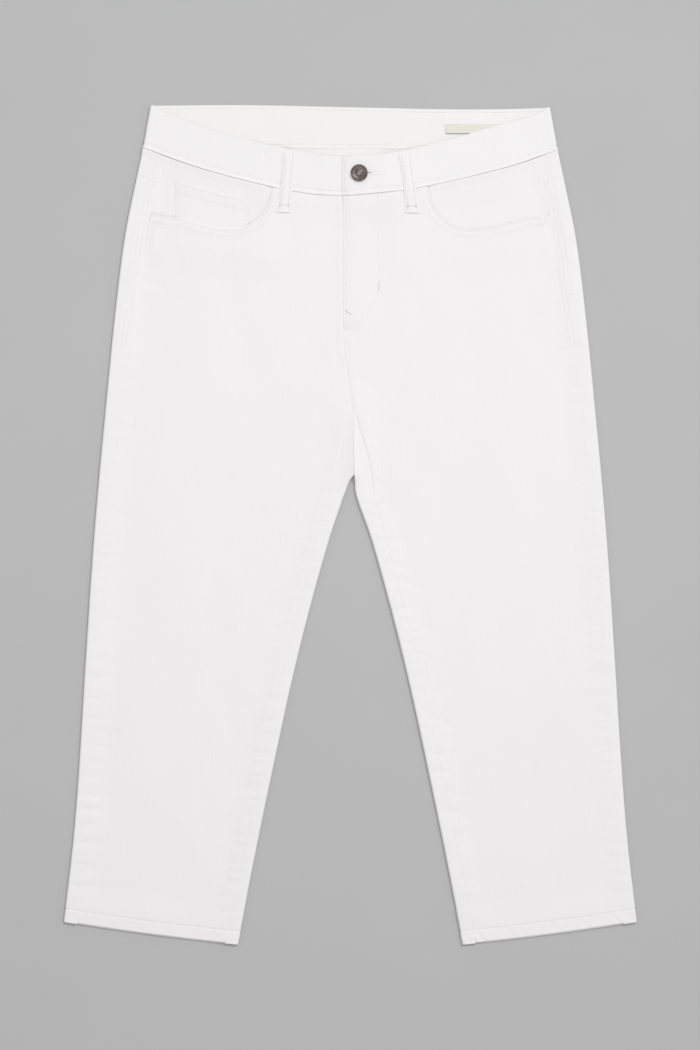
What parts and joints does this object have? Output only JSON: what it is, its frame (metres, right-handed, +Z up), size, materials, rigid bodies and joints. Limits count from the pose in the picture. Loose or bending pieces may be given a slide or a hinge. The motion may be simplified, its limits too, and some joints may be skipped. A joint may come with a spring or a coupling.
{
  "type": "capri pants",
  "caption": "Straight capri jeans laid flat front side up: two fronts on two backs, scooped pockets, coin pocket, belt loops and a buttoned waistband.",
  "frame": {"origin": "middle of the garment's box, on the surface it lies on", "axes": "+X to the wearer's left, +Y along the garment from hem to waist, +Z up from the surface it lies on"},
  "size_m": [0.5726, 0.8387, 0.0107],
  "materials": {
    "denim": "white stretch denim, matt twill",
    "label": "cream woven label, bare",
    "button": "antiqued nearly black, worn brighter on the rim"
  },
  "bodies": {
    "root": {"back_leg_left": "denim", "back_leg_right": "denim", "yoke_left": "denim", "yoke_right": "denim", "front_leg_left": "denim", "front_leg_right": "denim", "hip_facing_left": "denim", "hip_facing_right": "denim", "coin_pocket": "denim", "waistband": "denim", "belt_loop_front_left": "denim", "belt_loop_front_right": "denim", "label": "label", "button": "button"}
  },
  "joints": []
}
